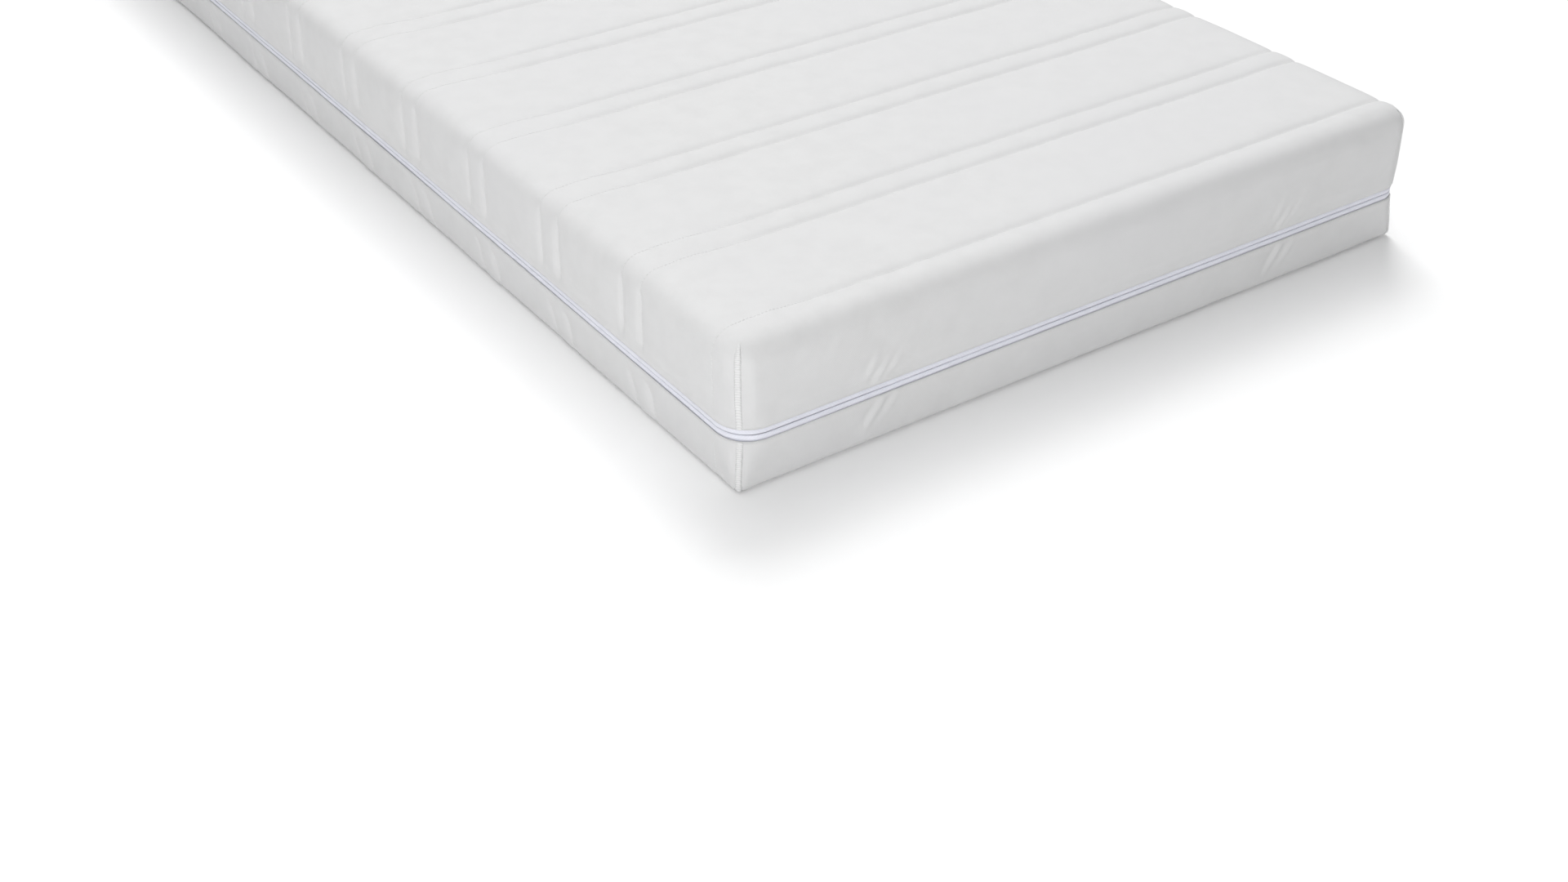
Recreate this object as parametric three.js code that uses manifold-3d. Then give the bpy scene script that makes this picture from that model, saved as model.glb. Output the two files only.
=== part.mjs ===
// A single foam mattress in a removable quilted cover, in millimetres.
// +X is across the width, +Y runs from the foot end to the head end, +Z is up, and the origin is the
// middle of the face that lies on the bed base.
//
// From the inside out: a block of support foam with a layer of memory foam glued on it, in a knitted
// sock; then a cover in two halves, each a laminate of backing, fibre wadding and jersey knit; then
// the zip that runs right round and joins the halves, with its slider on the long side at +X.

import * as THREE from "three";
import { mergeVertices } from "three/addons/utils/BufferGeometryUtils.js";
import Module from "manifold-3d";

// ---- Driving dimensions ----

const WIDTH = 900;
const LENGTH = 2000;
const HEIGHT = 160;
const CORNER_RADIUS = 30; // upright corners, seen from above
const TOP_EDGE_RADIUS = 24; // where the sleeping surface turns down into the border
const BOTTOM_EDGE_RADIUS = 12;

const KNIT = 1.2;
const WADDING = 4;
const BACKING = 0.8;
const LAYER_GAP = 0.3; // between any two layers that lie against each other
const SOCK = 1;
const CORE_CLEARANCE = 1; // between the cover's backing and the sock, so that the core slides out

const MEMORY_FOAM = 45; // depth of the top layer of the core
const FOAM_EDGE_RADIUS = 1; // least rounding of a foam edge
const SOCK_SHORTFALL = 12; // between the sock's open end and the head end of its form
const ZONE_CUT_WIDTH = 5;
const ZONE_CUT_DEPTH = 30;
// Groups of cuts across the support foam that soften it under the shoulders, waist, hips and legs.
const ZONES = [
  { centre: -640, cuts: 5, pitch: 32 },
  { centre: -330, cuts: 3, pitch: 42 },
  { centre: 0, cuts: 4, pitch: 36 },
  { centre: 330, cuts: 3, pitch: 42 },
  { centre: 640, cuts: 5, pitch: 32 },
];

const ZIP_LEVEL = 59; // middle of the zip above the bed base
const ZIP_REVEAL = 13; // height of the zip that shows between the edges of the knit
const TAPE_WIDTH = 14;
const TAPE = 0.8;
const CHAIN_GAP = 2.4; // between the two chains, wide enough for the slider's post
const COIL = 2.4; // height and thickness of a chain
const CHAIN_BREAK_FROM_HEAD = 70; // the chain starts and ends here, on the side at +X
const CHAIN_BREAK = 24;
const STOP_LENGTH = 5;
const STOP_HEIGHT = 4;

const SLIDER_LENGTH = 12;
const SLIDER_HEIGHT = 10.4;
const SLIDER_NOSE_HEIGHT = 8;
const SLIDER_PLATE = 1;
const SLIDER_FROM_STOP = 4; // clear length of chain between the parked slider and the stops
const POST_LENGTH = 3;
const POST_HEIGHT = 1.6;
const FLANGE = 1;
const BRIDGE_LENGTH = 8;
const BRIDGE_HEIGHT = 3.4; // how far the bridge stands off the slider's face
const BRIDGE_WALL = 1.2;
const BRIDGE_WIDTH = 3;

const PULL_LENGTH = 30;
const PULL_WIDTH = 8;
const PULL = 1.2;
const PULL_BAR = 1.4;
const PULL_ARM = 2; // width of each arm beside the bridge
const PULL_WINDOW = 5.4; // from the bar's axis to the far edge of the window
const PULL_HOLE_RADIUS = 1.5;
const RUNNING_CLEARANCE = 0.4; // between the slider or its pull and what they pass

const SEAM_THREAD = 1.6; // thickness of the overlocked thread up each corner
const SEAM_END_ANGLE = Math.PI / 3; // how far over the edge a corner seam runs
const SEAM_STEPS = 9;

const LABEL_WIDTH = 45;
const LABEL_DROP = 30;
const LABEL = 0.4;
const LABEL_FROM_SIDE = 160; // from the side at +X to the middle of the label, on the head end

const CORNER_STEPS = 3; // curve divisions of a quarter turn, seen from above
const EDGE_STEPS = 3; // rings of a rounded edge

// ---- Sizes that follow from them ----

const HALF_WIDTH = WIDTH / 2;
const HALF_LENGTH = LENGTH / 2;
const WADDING_INSET = KNIT + LAYER_GAP;
const BACKING_INSET = WADDING_INSET + WADDING + LAYER_GAP;
const SOCK_INSET = BACKING_INSET + BACKING + CORE_CLEARANCE;
const FOAM_INSET = SOCK_INSET + SOCK + LAYER_GAP;
const TAPE_INSET = KNIT + LAYER_GAP;
const COIL_INSET = TAPE_INSET + TAPE + LAYER_GAP;
const KNIT_EDGE = ZIP_REVEAL / 2;
const TAPE_EDGE = CHAIN_GAP / 2;
const LINING_EDGE = TAPE_EDGE + TAPE_WIDTH + LAYER_GAP;
const BREAK_CENTRE = HALF_LENGTH - CHAIN_BREAK_FROM_HEAD;

// ---- Solids ----

const wasm = await Module();
wasm.setup();

/** A closed three.js geometry as a solid that can be joined and cut. */
function solid(geometry) {
  const bare = new THREE.BufferGeometry();
  bare.setAttribute("position", geometry.getAttribute("position"));
  if (geometry.index) bare.setIndex(geometry.index);
  const merged = mergeVertices(bare, 1e-3);
  return new wasm.Manifold(
    new wasm.Mesh({
      numProp: 3,
      vertProperties: merged.attributes.position.array,
      triVerts: new Uint32Array(merged.index.array),
    }),
  );
}

/** The triangles of a joined or cut solid as a three.js geometry. */
function geometryOf(made) {
  const { vertProperties, triVerts } = made.getMesh();
  const geometry = new THREE.BufferGeometry();
  geometry.setAttribute("position", new THREE.BufferAttribute(vertProperties, 3));
  geometry.setIndex(new THREE.BufferAttribute(triVerts, 1));
  geometry.computeVertexNormals();
  return geometry;
}

/** A box between two corners. */
function box([x0, y0, z0], [x1, y1, z1]) {
  const geometry = new THREE.BoxGeometry(x1 - x0, y1 - y0, z1 - z0);
  return solid(geometry.translate((x0 + x1) / 2, (y0 + y1) / 2, (z0 + z1) / 2));
}

/** The mattress's outline from above, moved in by inset, with arcs at its corners. */
function outline(inset) {
  const x = HALF_WIDTH - inset;
  const y = HALF_LENGTH - inset;
  const r = CORNER_RADIUS - inset;
  const quarter = Math.PI / 2;
  const shape = new THREE.Shape();
  shape.absarc(x - r, y - r, r, 0, quarter);
  shape.absarc(r - x, y - r, r, quarter, 2 * quarter);
  shape.absarc(r - x, r - y, r, 2 * quarter, 3 * quarter);
  shape.absarc(x - r, r - y, r, 3 * quarter, 4 * quarter);
  return shape;
}

/** A block with the mattress's outline moved in by inset, from one level to another, its edges rounded. */
function block(inset, bottom, top, edge) {
  const rounded = edge > 0;
  const geometry = new THREE.ExtrudeGeometry(outline(inset), {
    depth: top - bottom - 2 * edge,
    curveSegments: CORNER_STEPS,
    bevelEnabled: rounded,
    bevelThickness: edge,
    bevelSize: edge,
    bevelOffset: -edge,
    bevelSegments: EDGE_STEPS,
  });
  return solid(geometry.translate(0, 0, bottom + edge));
}

/** A slice of space between two levels, wider than the mattress. */
function slice(bottom, top) {
  return box([-WIDTH, -LENGTH, bottom], [WIDTH, LENGTH, top]);
}

/** The whole mattress's form moved in by inset, with its upper and lower edges rounded. */
function form(inset) {
  const upper = Math.max(TOP_EDGE_RADIUS - inset, FOAM_EDGE_RADIUS);
  const lower = Math.max(BOTTOM_EDGE_RADIUS - inset, FOAM_EDGE_RADIUS);
  const roundedAbove = block(inset, -HEIGHT, HEIGHT - inset, upper);
  const roundedBelow = block(inset, inset, 2 * HEIGHT, lower);
  return roundedAbove.intersect(roundedBelow);
}

/** A hollow skin of the given thickness that follows the form all round. */
function skin(inset, thickness) {
  return form(inset).subtract(form(inset + thickness));
}

/** A flat band round the mattress, such as a zip tape. */
function band(inset, thickness, bottom, top) {
  return block(inset, bottom, top, 0).subtract(block(inset + thickness, bottom - 1, top + 1, 0));
}

// ---- Materials ----

function material(color, roughness, metalness = 0) {
  return new THREE.MeshStandardMaterial({ color, roughness, metalness });
}

const jersey = material("#ecebe8", 0.9);
const fibre = material("#f4f4f2", 1);
const fleece = material("#e4e4e0", 1);
const viscoFoam = material("#f1ead2", 0.95);
const coldFoam = material("#e8eef0", 0.95);
const tricot = material("#f2f2ee", 0.95);
const tapeCloth = material("#dfe2f2", 0.6);
const nylon = material("#e6e8f4", 0.35);
const enamel = material("#e4e6ee", 0.35, 0.2);
const thread = material("#efeeea", 0.7);
const satin = material("#f6f6f4", 0.5);

const mattress = new THREE.Group();

function add(name, made, look) {
  const mesh = new THREE.Mesh(geometryOf(made), look);
  mesh.name = name;
  mattress.add(mesh);
}

// ---- Foam core ----

function supportFoam() {
  const top = HEIGHT - FOAM_INSET - MEMORY_FOAM - LAYER_GAP;
  let made = form(FOAM_INSET).intersect(slice(0, top));
  for (const { centre, cuts, pitch } of ZONES) {
    for (let i = 0; i < cuts; i += 1) {
      const y = centre + (i - (cuts - 1) / 2) * pitch;
      const half = ZONE_CUT_WIDTH / 2;
      const depth = FOAM_INSET + ZONE_CUT_DEPTH;
      made = made.subtract(box([-WIDTH, y - half, 0], [WIDTH, y + half, depth]));
    }
  }
  return made;
}

function memoryFoam() {
  return form(FOAM_INSET).intersect(slice(HEIGHT - FOAM_INSET - MEMORY_FOAM, HEIGHT));
}

/** A pillowcase of thin knit, closed at the foot end and open at the head end. */
function coreSock() {
  const open = HALF_LENGTH - SOCK_INSET - SOCK_SHORTFALL;
  return skin(SOCK_INSET, SOCK).intersect(box([-WIDTH, -LENGTH, 0], [WIDTH, open, HEIGHT]));
}

add("support_foam", supportFoam(), coldFoam);
add("memory_foam", memoryFoam(), viscoFoam);
add("core_sock", coreSock(), tricot);

// ---- Cover halves ----

const halves = [
  { half: "upper", side: 1, edge: TOP_EDGE_RADIUS },
  { half: "lower", side: -1, edge: BOTTOM_EDGE_RADIUS },
];

/** The two levels of a strip that lies from one distance of the zip's middle to another. */
function levels(side, from, to) {
  const a = ZIP_LEVEL + side * from;
  const b = ZIP_LEVEL + side * to;
  return [Math.min(a, b), Math.max(a, b)];
}

for (const { half, side } of halves) {
  const layers = [
    { name: "knit", inset: 0, thickness: KNIT, from: KNIT_EDGE, look: jersey },
    { name: "wadding", inset: WADDING_INSET, thickness: WADDING, from: LINING_EDGE, look: fibre },
    { name: "backing", inset: BACKING_INSET, thickness: BACKING, from: LINING_EDGE, look: fleece },
  ];
  for (const { name, inset, thickness, from, look } of layers) {
    const [bottom, top] = levels(side, from, HEIGHT);
    add(`${half}_cover_${name}`, skin(inset, thickness).intersect(slice(bottom, top)), look);
  }
}

// ---- Corner seams ----

const corners = [
  { place: "foot_left", x: -1, y: -1 },
  { place: "foot_right", x: 1, y: -1 },
  { place: "head_left", x: -1, y: 1 },
  { place: "head_right", x: 1, y: 1 },
];

/** A thread up one corner of a cover half: straight beside the border, then over the rounded edge. */
function cornerSeam(corner, side, edge) {
  const off = SEAM_THREAD / 2 + LAYER_GAP;
  const level = side > 0 ? HEIGHT : 0;
  const start = ZIP_LEVEL + side * (KNIT_EDGE + SEAM_THREAD);
  const turn = level - side * edge;
  const place = (reach, z) => {
    const along = reach * Math.SQRT1_2;
    return new THREE.Vector3(
      corner.x * (HALF_WIDTH - CORNER_RADIUS + along),
      corner.y * (HALF_LENGTH - CORNER_RADIUS + along),
      z,
    );
  };
  const over = Array.from({ length: SEAM_STEPS }, (_, i) => {
    const angle = (SEAM_END_ANGLE * i) / (SEAM_STEPS - 1);
    const reach = CORNER_RADIUS - edge + (edge + off) * Math.cos(angle);
    return place(reach, turn + side * (edge + off) * Math.sin(angle));
  });
  const path = new THREE.CatmullRomCurve3([
    place(CORNER_RADIUS + off, start),
    place(CORNER_RADIUS + off, (start + turn) / 2),
    ...over,
  ]);
  const section = new THREE.Shape().absarc(0, 0, SEAM_THREAD / 2, 0, 2 * Math.PI);
  const geometry = new THREE.ExtrudeGeometry(section, {
    extrudePath: path,
    steps: 2 * SEAM_STEPS,
    curveSegments: 4,
  });
  return solid(geometry);
}

for (const { half, side, edge } of halves) {
  for (const corner of corners) {
    add(`${half}_corner_seam_${corner.place}`, cornerSeam(corner, side, edge), thread);
  }
}

// ---- Zip ----

/** Space on the side at +X between two places along the length, for cutting the chain or placing a stop. */
function sideSpan(inset, thickness, y0, y1, bottom, top) {
  return box([HALF_WIDTH - inset - thickness, y0, bottom], [HALF_WIDTH - inset, y1, top]);
}

function chain(side) {
  const [bottom, top] = levels(side, TAPE_EDGE, TAPE_EDGE + COIL);
  const half = CHAIN_BREAK / 2;
  const opening = sideSpan(0, WIDTH / 4, BREAK_CENTRE - half, BREAK_CENTRE + half, bottom - 1, top + 1);
  return band(COIL_INSET, COIL, bottom, top).subtract(opening);
}

/** A stop, box or pin at one end of a chain: a small block just past the chain's last turn. */
function chainEnd(side, end) {
  const near = BREAK_CENTRE + end * (CHAIN_BREAK / 2 - LAYER_GAP);
  const far = near - end * STOP_LENGTH;
  const [bottom, top] = levels(side, TAPE_EDGE, TAPE_EDGE + STOP_HEIGHT);
  return sideSpan(COIL_INSET, COIL, Math.min(near, far), Math.max(near, far), bottom, top);
}

for (const { half, side } of halves) {
  const [bottom, top] = levels(side, TAPE_EDGE, TAPE_EDGE + TAPE_WIDTH);
  add(`${half}_zip_tape`, band(TAPE_INSET, TAPE, bottom, top), tapeCloth);
  add(`${half}_zip_coil`, chain(side), nylon);
  add(`${half}_zip_stop`, chainEnd(side, -1), enamel);
}
add("zip_insertion_pin", chainEnd(1, 1), enamel);
add("zip_retainer_box", chainEnd(-1, 1), enamel);

// ---- Slider and pull ----
// Both are drawn round the slider's own middle, with x outwards from the slider's face.

const FACE_INSET = TAPE_INSET - RUNNING_CLEARANCE - SLIDER_PLATE;
const BACK_INSET = COIL_INSET + COIL + RUNNING_CLEARANCE;
const SLIDER_Y = BREAK_CENTRE - CHAIN_BREAK / 2 - SLIDER_FROM_STOP - SLIDER_LENGTH / 2;
const PIVOT_OUT = (BRIDGE_HEIGHT - BRIDGE_WALL) / 2;

/** A plate lying along the side of the mattress: an outline in y and z, given a thickness in x. */
function plate(points, x0, x1) {
  const shape = new THREE.Shape(points.map(([y, z]) => new THREE.Vector2(y, z)));
  const geometry = new THREE.ExtrudeGeometry(shape, { depth: x1 - x0, bevelEnabled: false });
  // The shape's x and y become the part's y and z, and its depth becomes x.
  const turn = new THREE.Matrix4().set(0, 0, 1, x0, 1, 0, 0, 0, 0, 1, 0, 0, 0, 0, 0, 1);
  return solid(geometry.applyMatrix4(turn));
}

function slider() {
  const back = FACE_INSET - BACK_INSET; // the back plate's near face
  const half = SLIDER_LENGTH / 2;
  const mouth = SLIDER_HEIGHT / 2;
  const nose = SLIDER_NOSE_HEIGHT / 2;
  const postEnd = half - POST_LENGTH;
  const shield = [
    [-half, -nose],
    [postEnd, -mouth],
    [half, -nose],
    [half, nose],
    [postEnd, mouth],
    [-half, nose],
  ];
  const inPlates = [back - SLIDER_PLATE / 2, -SLIDER_PLATE / 2]; // reaches into both plates
  const post = box([inPlates[0], postEnd, -POST_HEIGHT / 2], [inPlates[1], half, POST_HEIGHT / 2]);
  const flangeTop = -(TAPE_EDGE + COIL + RUNNING_CLEARANCE);
  const flangeFront = back + COIL + RUNNING_CLEARANCE;
  const flange = box([inPlates[0], -half, flangeTop - FLANGE], [flangeFront, postEnd, flangeTop]);
  return plate(shield, -SLIDER_PLATE, 0)
    .add(plate(shield, back - SLIDER_PLATE, back))
    .add(post)
    .add(flange)
    .add(bridge());
}

/** The arch on the slider's face that the pull hangs from. */
function bridge() {
  const half = BRIDGE_LENGTH / 2;
  const arch = box([-SLIDER_PLATE / 2, -half, -BRIDGE_WIDTH / 2], [BRIDGE_HEIGHT, half, BRIDGE_WIDTH / 2]);
  const inner = half - BRIDGE_WALL;
  return arch.subtract(box([0, -inner, -BRIDGE_WIDTH], [BRIDGE_HEIGHT - BRIDGE_WALL, inner, BRIDGE_WIDTH]));
}

function pull() {
  const half = PULL_WIDTH / 2;
  const bar = PULL_BAR / 2;
  const taper = half - PULL_ARM / 2;
  const outlinePoints = [
    [bar, -half],
    [bar, half],
    [bar - PULL_LENGTH + PULL_ARM, taper],
    [bar - PULL_LENGTH, taper - PULL_ARM / 2],
    [bar - PULL_LENGTH, PULL_ARM / 2 - taper],
    [bar - PULL_LENGTH + PULL_ARM, -taper],
  ];
  const tab = plate(outlinePoints, -PULL / 2, PULL / 2);
  const window = box([-PULL, -PULL_WINDOW, PULL_ARM - half], [PULL, -bar, half - PULL_ARM]);
  const hole = new THREE.CylinderGeometry(PULL_HOLE_RADIUS, PULL_HOLE_RADIUS, 2 * PULL, 16);
  hole.rotateZ(Math.PI / 2).translate(0, 2 * PULL_ARM - PULL_LENGTH, 0);
  return tab.subtract(window).subtract(solid(hole));
}

const sliderFace = HALF_WIDTH - FACE_INSET;
add("zip_slider", slider().translate([sliderFace, SLIDER_Y, ZIP_LEVEL]), enamel);
add("zip_pull", pull().translate([sliderFace + PIVOT_OUT, SLIDER_Y, ZIP_LEVEL]), enamel);

// ---- Care label ----

/** A small plain label sewn in under the zip, on the head end. */
function careLabel() {
  const centre = HALF_WIDTH - LABEL_FROM_SIDE;
  const top = ZIP_LEVEL - KNIT_EDGE;
  const y0 = HALF_LENGTH + LAYER_GAP;
  return box([centre - LABEL_WIDTH / 2, y0, top - LABEL_DROP], [centre + LABEL_WIDTH / 2, y0 + LABEL, top]);
}
add("care_label", careLabel(), satin);

export default mattress;
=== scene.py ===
"""The looks of a single foam mattress in a quilted, zipped cover, built round its CAD frame.

Metres. +X is across the width, +Y runs from the foot end to the head end, +Z is up, and z = 0 is the
bed base. The sections follow the mattress as it is put together, from the core outwards.
"""

import bmesh
import bpy
import numpy as np
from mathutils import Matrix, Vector


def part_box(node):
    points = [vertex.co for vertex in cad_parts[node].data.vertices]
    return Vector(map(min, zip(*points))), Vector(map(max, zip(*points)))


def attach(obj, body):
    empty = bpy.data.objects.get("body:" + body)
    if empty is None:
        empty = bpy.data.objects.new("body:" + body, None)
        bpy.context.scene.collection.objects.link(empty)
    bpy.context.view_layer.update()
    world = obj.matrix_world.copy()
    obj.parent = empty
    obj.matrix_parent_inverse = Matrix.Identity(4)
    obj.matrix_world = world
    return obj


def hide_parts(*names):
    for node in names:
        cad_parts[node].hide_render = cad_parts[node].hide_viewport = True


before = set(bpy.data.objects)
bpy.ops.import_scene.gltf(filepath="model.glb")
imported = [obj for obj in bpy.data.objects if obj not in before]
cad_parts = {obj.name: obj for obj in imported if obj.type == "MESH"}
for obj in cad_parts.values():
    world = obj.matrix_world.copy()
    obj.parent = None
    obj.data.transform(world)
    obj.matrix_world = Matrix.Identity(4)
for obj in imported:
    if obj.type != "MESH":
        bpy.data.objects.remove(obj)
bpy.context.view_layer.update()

# ---- Support foam ----
# The lower block of the core, moulded cold foam of about 34 kg/m3. Rows of cuts, sawn across it from
# below, soften it under the shoulders, the waist, the hips and the calves.

MM = 0.001


def linear(hex_colour):
    """The linear colour of an sRGB hex value, by the sRGB transfer curve, with full alpha."""
    value = np.array([int(hex_colour[i : i + 2], 16) / 255 for i in (1, 3, 5)])
    curve = np.where(value <= 0.04045, value / 12.92, ((value + 0.055) / 1.055) ** 2.4)
    return (*curve.tolist(), 1.0)


def new_material(name):
    """An empty node material, returned with its node tree."""
    material = bpy.data.materials.new(name)
    material.use_nodes = True
    material.node_tree.nodes.clear()
    return material, material.node_tree


def add_node(tree, kind, settings=None, values=None, links=None):
    """Adds one node: settings are its properties, values its sockets' numbers, links its incoming wires.

    A colour ramp takes its two stops as a setting, in (place, hex) pairs.
    """
    made = tree.nodes.new("ShaderNode" + kind)
    for key, value in (settings or {}).items():
        if key == "stops":
            for element, (place, colour) in zip(made.color_ramp.elements, value):
                element.position, element.color = place, linear(colour)
        else:
            setattr(made, key, value)
    for key, value in (values or {}).items():
        made.inputs[key].default_value = value
    for key, source in (links or {}).items():
        tree.links.new(source, made.inputs[key])
    return made


def add_shader(tree, finish, links):
    """Ends a material with its shader: finish holds the shader's numbers, links its colour and normal."""
    shader = add_node(tree, "BsdfPrincipled", values=finish, links=links)
    add_node(tree, "OutputMaterial", links={"Surface": shader.outputs["BSDF"]})


def add_surface(tree, tone, stops, height, bump, finish):
    """Ends a material with a ramp of the tone and a bump of the height, by strength and depth in mm."""
    strength, depth_mm = bump
    colour = add_node(tree, "ValToRGB", {"stops": stops}, links={"Fac": tone})
    relief = add_node(
        tree, "Bump", values={"Strength": strength, "Distance": depth_mm * MM}, links={"Height": height}
    )
    add_shader(tree, finish, {"Base Color": colour.outputs["Color"], "Normal": relief.outputs["Normal"]})


def per_metre(size_mm):
    """A pattern's scale, from the size in mm of what it draws."""
    return 1 / (size_mm * MM)


def foam_material(name, light, dark, cell_mm, depth_mm):
    """Open-cell foam: a dull, porous surface. Round cells of the given size pit it and darken it."""
    material, tree = new_material(name)
    place = add_node(tree, "TexCoord").outputs["Object"]
    cells = add_node(tree, "TexVoronoi", values={"Scale": per_metre(cell_mm)}, links={"Vector": place})
    pits = cells.outputs["Distance"]
    clouds = add_node(
        tree, "TexNoise", values={"Scale": per_metre(111), "Detail": 3.0, "Roughness": 0.6},
        links={"Vector": place},
    )
    tone = add_node(tree, "Math", {"operation": "MULTIPLY_ADD"}, {1: 0.55, 2: 0.12}, {0: pits})
    mixed = add_node(
        tree, "Math", {"operation": "MULTIPLY_ADD"}, {1: 0.5},
        {0: clouds.outputs["Fac"], 2: tone.outputs["Value"]},
    )
    add_surface(
        tree, mixed.outputs["Value"], [(0.1, dark), (0.7, light)], pits, (0.8, depth_mm),
        {"Roughness": 0.96, "Sheen Weight": 0.08},
    )
    return material


def make_piece(name, points, faces, material, uv=None, smooth=True):
    """A mesh object at the origin from an array of points and an array of quads or triangles.

    uv, if given, is one pair for each point, and each face corner takes its point's pair.
    """
    points = np.asarray(points, np.float32).reshape(-1, 3)
    faces = np.asarray(faces, np.int32)
    mesh = bpy.data.meshes.new(name)
    mesh.vertices.add(len(points))
    mesh.vertices.foreach_set("co", points.ravel())
    mesh.loops.add(faces.size)
    mesh.loops.foreach_set("vertex_index", faces.ravel())
    mesh.polygons.add(len(faces))
    mesh.polygons.foreach_set("loop_start", np.arange(0, faces.size, faces.shape[1], dtype=np.int32))
    mesh.polygons.foreach_set("use_smooth", np.full(len(faces), smooth))
    if uv is not None:
        layer = mesh.uv_layers.new(name="cloth")
        layer.data.foreach_set("uv", np.asarray(uv, np.float32).reshape(-1, 2)[faces.ravel()].ravel())
    mesh.update(calc_edges=True)
    mesh.validate()
    mesh.materials.append(material)
    made = bpy.data.objects.new(name, mesh)
    bpy.context.scene.collection.objects.link(made)
    return made


def grid_quads(rows, columns, round_rows=False, round_columns=False):
    """The quads of a rows x columns grid of points, closing either way round if asked."""
    index = np.arange(rows * columns).reshape(rows, columns)
    down = np.roll(index, -1, 0) if round_rows else index[1:]
    here = index if round_rows else index[:-1]
    if round_columns:
        quads = np.stack([here, np.roll(here, -1, 1), np.roll(down, -1, 1), down], -1)
    else:
        quads = np.stack([here[:, :-1], here[:, 1:], down[:, 1:], down[:, :-1]], -1)
    return quads.reshape(-1, 4)


def modifier(obj, kind, **settings):
    """Adds a modifier and sets its properties."""
    made = obj.modifiers.new(kind.title(), kind)
    for key, value in settings.items():
        setattr(made, key, value)
    return made


def box(node):
    """A CAD node's lowest and highest corners at rest, to a hundredth of a millimetre."""
    return np.round(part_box(node), 5)


HALF_X, HALF_Y, HEIGHT = box("upper_cover_knit")[1]
FOAM_INSET = box("support_foam")[0][2]
SPLIT = box("memory_foam")[0][2]
SAW_CUTS = [
    (centre + (i - (cuts - 1) / 2) * pitch) * MM
    for centre, cuts, pitch in [(-640, 5, 32), (-330, 3, 42), (0, 4, 36), (330, 3, 42), (640, 5, 32)]
    for i in range(cuts)
]
SAW_WIDTH, SAW_DEPTH = 5 * MM, 30 * MM
PLAN_CORNER = 22 * MM


def foam_slab(name, bottom, top, cuts, bottom_edge, top_edge, material):
    """A block of foam as a loft: its side outline in y and z, scaled across x.

    The outline runs along the top and back along the underside, down and up each saw cut. Across x it
    is repeated at stations. The outer ones are drawn in along a quarter circle, above by the top
    edge's radius and below by the bottom edge's, and the last closes on the outline's middle line.
    """
    half_x, half_y = HALF_X - FOAM_INSET, HALF_Y - FOAM_INSET
    middle, half = (bottom + top) / 2, (top - bottom) / 2
    turn = np.linspace(0, np.pi / 2, 6)

    def rounded(end, level, edge, up, angle):
        """The outline's quarter circle between a face at that level and one end."""
        inward, rise = edge * (1 - np.sin(angle)), edge * (1 - np.cos(angle))
        return np.stack([end * (half_y - inward), level + up * rise], -1)

    saw = np.array([[1, 0], [0.9, 0.5], [1, 1], [-1, 1], [-0.9, 0.5], [-1, 0]]) * [SAW_WIDTH / 2, SAW_DEPTH]
    flat = np.linspace(-half_y + 2 * top_edge, half_y - 2 * top_edge, 60)
    outline = np.vstack([
        rounded(1, bottom, bottom_edge, 1, turn[::-1]),
        *[saw + [y, bottom] for y in sorted(cuts, reverse=True)],
        rounded(-1, bottom, bottom_edge, 1, turn),
        rounded(-1, top, top_edge, -1, turn[::-1]),
        np.stack([flat, np.full(len(flat), top)], -1),
        rounded(1, top, top_edge, -1, turn),
    ])
    # The stations are shares of the full width, closer together over the long edges' arcs.
    rim = 1 - max(top_edge, bottom_edge) / half_x * (1 - np.sin(np.linspace(0, np.pi / 2, 8)))
    station = np.concatenate([[-1], -rim[::-1], np.linspace(-rim[0], rim[0], 17)[1:-1], rim, [1]])

    def drawn_in(edge):
        """How much of the outline's height is left at each station: a quarter circle at the rim."""
        into = np.clip((np.abs(station) - 1) * half_x / edge + 1, 0, 1)
        drop = edge * (1 - np.sqrt(1 - into**2))
        drop[[0, -1]] = half
        return (1 - drop / half)[:, None]

    y, z = outline.T[:, None]
    # The plan's corners are arcs, so the width shrinks towards the foot and head ends.
    into = np.clip((np.abs(y) - (half_y - PLAN_CORNER)) / PLAN_CORNER, 0, 1)
    width = half_x - PLAN_CORNER * (1 - np.sqrt(1 - into**2))
    shrink = np.where(z > middle, drawn_in(top_edge), drawn_in(bottom_edge))
    x = station[:, None] * width
    points = np.stack([x, np.broadcast_to(y, x.shape), middle + (z - middle) * shrink], -1)
    quads = grid_quads(len(station), len(outline), round_columns=True)
    return make_piece(name, points, quads[:, ::-1], material)


cold_foam = foam_material("moulded cold foam", "#eef1f1", "#cfd6d8", 1.6, 0.5)
support_foam = foam_slab(
    "support_foam_block", FOAM_INSET, SPLIT - 0.3 * MM, SAW_CUTS, 3 * MM, 1 * MM, cold_foam
)
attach(support_foam, "core")
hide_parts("support_foam")

# ---- Memory foam ----
# The 45 mm comfort layer, poured visco-elastic foam with finer cells, bonded on top of the support
# foam with a thin water-based glue. Its upper edges are rounded by the cover that pulls over them.

memory_cells = foam_material("poured memory foam", "#f4ecd2", "#dccfa8", 1.0, 0.25)
memory_foam = foam_slab("memory_foam_layer", SPLIT, HEIGHT - FOAM_INSET, [], 1 * MM, 15 * MM, memory_cells)
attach(memory_foam, "core")
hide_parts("memory_foam")

# ---- Cover form ----
# Every layer of the cover, and the sock, is cut from flat cloth and wraps the same form: flat on top,
# over a rounded edge, straight down the border, with a seam at each corner. This is that form.

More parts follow.
